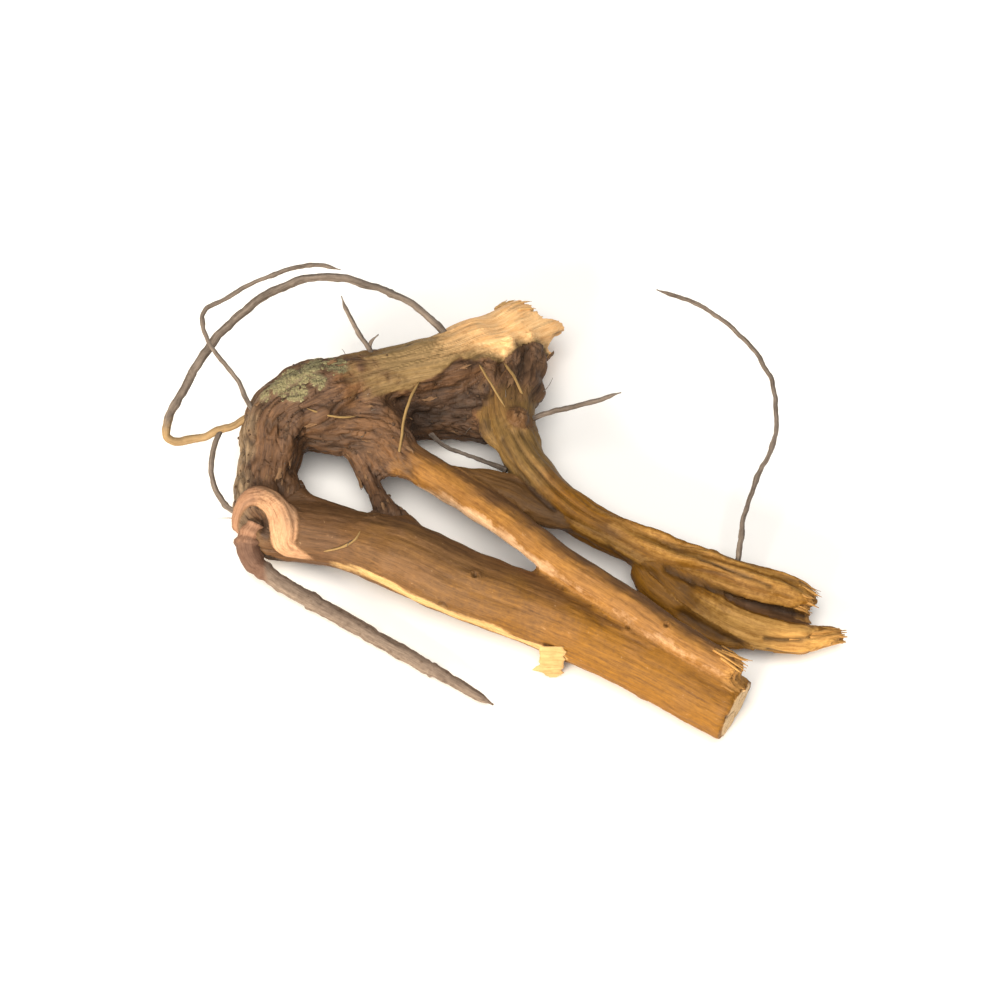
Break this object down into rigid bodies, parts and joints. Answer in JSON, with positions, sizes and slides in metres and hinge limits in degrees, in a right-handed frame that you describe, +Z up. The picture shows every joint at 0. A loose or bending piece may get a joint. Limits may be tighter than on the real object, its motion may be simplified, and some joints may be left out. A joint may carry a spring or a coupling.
{
  "type": "devil's shoestring root",
  "caption": "Dried shrub root crown, lying flat: broken stem stub, hairpin bend, thick main root, forked side roots and wiry looping rootlets.",
  "frame": {"origin": "on the table, under the middle of the whole piece's box", "axes": "+Z up, +X towards the cut ends of the main and side roots, +Y away from the main root towards the stem stub"},
  "size_m": [0.083, 0.0607, 0.0169],
  "materials": {
    "root_bark": "dry, matt root bark with pale torn wood at the broken ends"
  },
  "bodies": {
    "root": {"root": "root_bark"}
  },
  "joints": []
}
